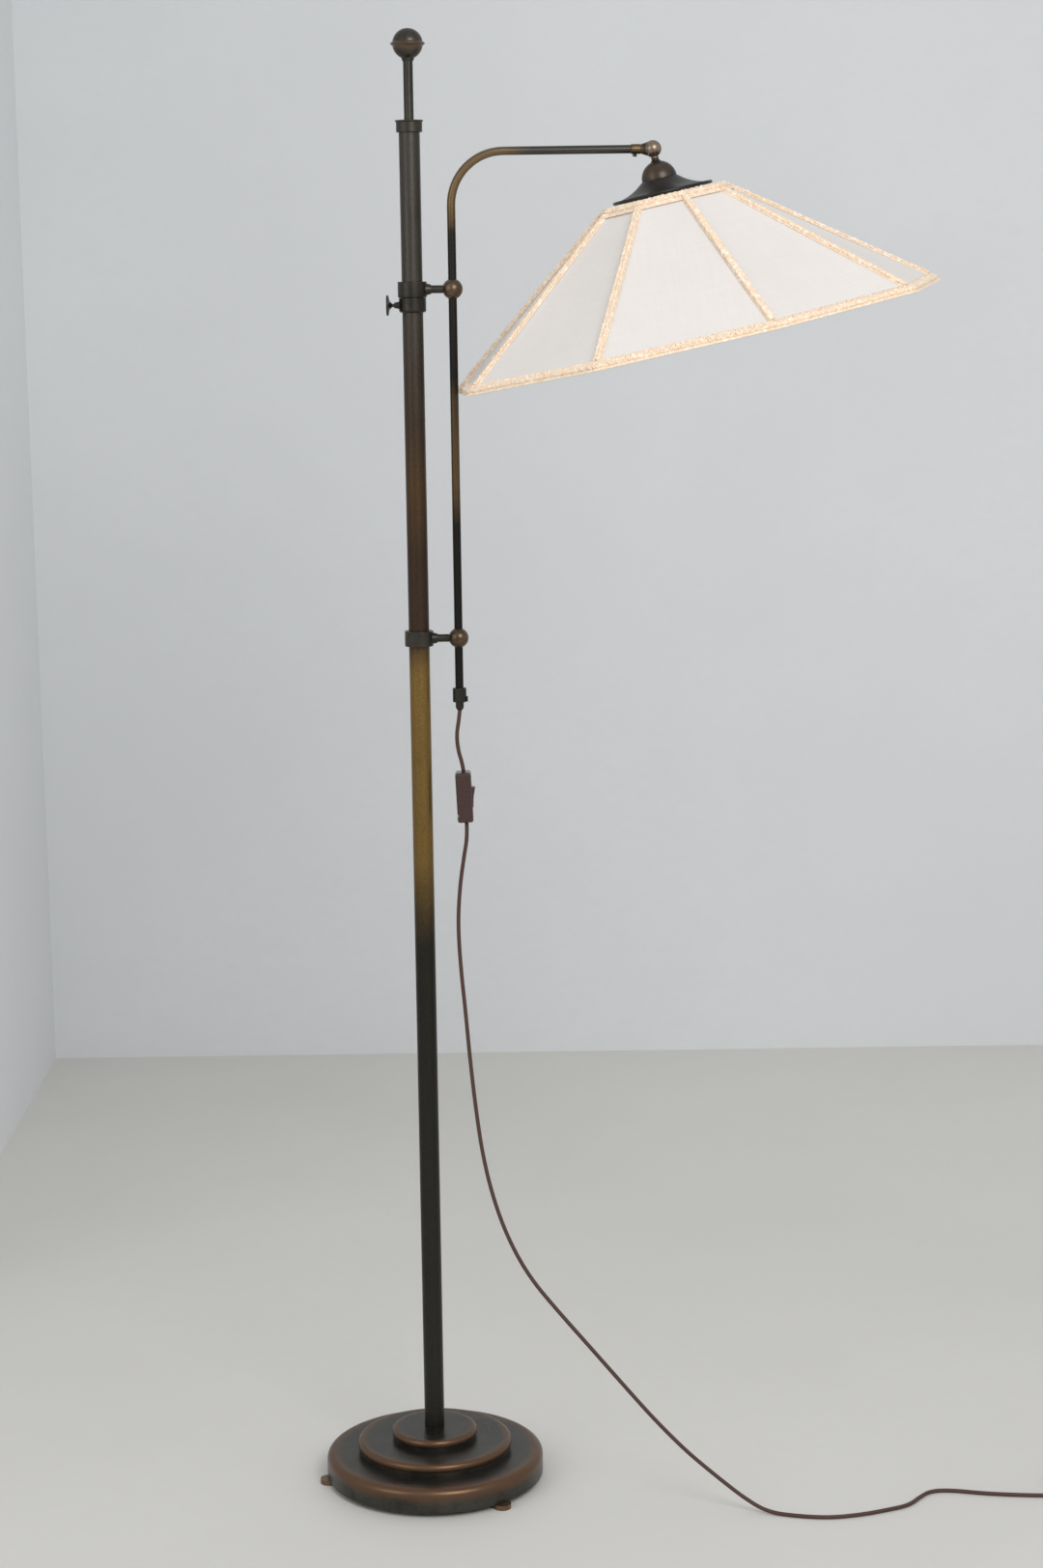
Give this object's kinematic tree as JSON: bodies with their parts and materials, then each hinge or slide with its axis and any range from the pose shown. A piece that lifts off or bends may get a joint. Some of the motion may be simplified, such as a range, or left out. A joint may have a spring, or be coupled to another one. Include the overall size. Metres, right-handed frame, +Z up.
{
  "type": "bridge floor lamp",
  "caption": "Floor lamp with a stepped round base, a tall pole with a ball finial and a sliding, swivelling side arm that holds a tilting faceted fabric shade.",
  "frame": {"origin": "centre of the base on the floor, on the pole's axis, at the underside of the feet", "axes": "+Z up along the pole, +X from the pole along the side arm towards the shade, +Y completing a right-handed frame, away from the picture's camera"},
  "size_m": [1.0117, 0.6021, 1.8],
  "materials": {
    "base_iron": "dark patinated, rubbed to copper brown on the rims",
    "steel_screw": "plain",
    "dark_bronze": "dark antique patina, golden in places",
    "old_brass": "aged, rubbed",
    "canopy_bronze": "dark antique patina",
    "shade_wire": "white lacquer",
    "shade_fabric": "fine weave, off-white",
    "shade_braid": "flat braid, pale cream",
    "switch_brown": "satin",
    "lead_brown": "braided sleeve",
    "lampholder": "satin",
    "socket_brass": "plain",
    "bulb_glass": "frosted",
    "bulb_metal": "plain"
  },
  "bodies": {
    "stand": {"base_large_disc": "base_iron", "base_middle_disc": "base_iron", "base_small_disc": "base_iron", "base_feet": "dark_bronze", "foot_screws": "steel_screw", "base_rod": "steel_screw", "base_washer": "steel_screw", "base_nut": "steel_screw", "pole_foot_insert": "steel_screw", "pole_tube": "dark_bronze", "pole_head_insert": "steel_screw", "pole_cup": "dark_bronze", "finial_rod": "dark_bronze", "finial_ball": "dark_bronze", "cord_run": "lead_brown", "cord_coil": "lead_brown", "plug_body": "switch_brown", "plug_pins": "socket_brass"},
    "collar": {"lock_collar": "dark_bronze", "switch_back": "switch_brown", "switch_front": "switch_brown", "switch_screws": "steel_screw", "switch_terminals": "socket_brass", "switch_pin": "steel_screw"},
    "thumb_screw": {"thumb_screw": "dark_bronze"},
    "rocker": {"switch_rocker": "switch_brown"},
    "arm": {"upper_bracket_ring": "dark_bronze", "upper_bracket_ball": "old_brass", "lower_bracket_ring": "dark_bronze", "lower_bracket_ball": "old_brass", "bracket_rods": "dark_bronze", "ball_screws": "steel_screw", "arm_tube": "dark_bronze", "cord_grip": "old_brass", "grip_screw": "old_brass", "lead_in_arm": "lead_brown", "knuckle_arm_half": "old_brass", "knuckle_screw": "steel_screw", "knuckle_set_screw": "old_brass", "cord_upper": "lead_brown"},
    "head": {"knuckle_head_half": "old_brass", "canopy": "canopy_bronze", "stem_nuts": "socket_brass", "shade_spider": "shade_wire", "holder_cap": "lampholder", "holder_core": "lampholder", "holder_body": "lampholder", "holder_ring": "lampholder", "socket_shell": "socket_brass", "lead_in_stem": "lead_brown", "bulb_cap": "bulb_metal", "bulb_glass": "bulb_glass", "shade_top_hoop": "shade_wire", "shade_bottom_hoop": "shade_wire", "shade_ribs": "shade_wire", "shade_panels": "shade_fabric", "shade_top_braid": "shade_braid", "shade_bottom_braid": "shade_braid", "shade_rib_braids": "shade_braid"}
  },
  "joints": [
    {"name": "collar_slide", "type": "slide", "parent": "stand", "child": "collar", "axis": [0, 0, 1], "range_m": [-0.6, 0.16], "deforming": ["cord_run"]},
    {"name": "arm_swivel", "type": "hinge", "parent": "collar", "child": "arm", "pos_m": [0, 0, 1.4965], "axis": [0, 0, 1], "range_deg": [-180, 180]},
    {"name": "shade_tilt", "type": "hinge", "parent": "arm", "child": "head", "pos_m": [0.288, 0, 1.657], "axis": [0, -1, 0], "range_deg": [-0.2, 75]},
    {"name": "thumb_screw_turn", "type": "hinge", "parent": "collar", "child": "thumb_screw", "pos_m": [-0.03, 0, 1.4781], "axis": [-1, 0, 0], "range_deg": [0, 720]},
    {"name": "rocker_press", "type": "hinge", "parent": "collar", "child": "rocker", "pos_m": [0.0581, 0, 0.88123], "axis": [0, -1, 0], "range_deg": [0, 16]}
  ]
}
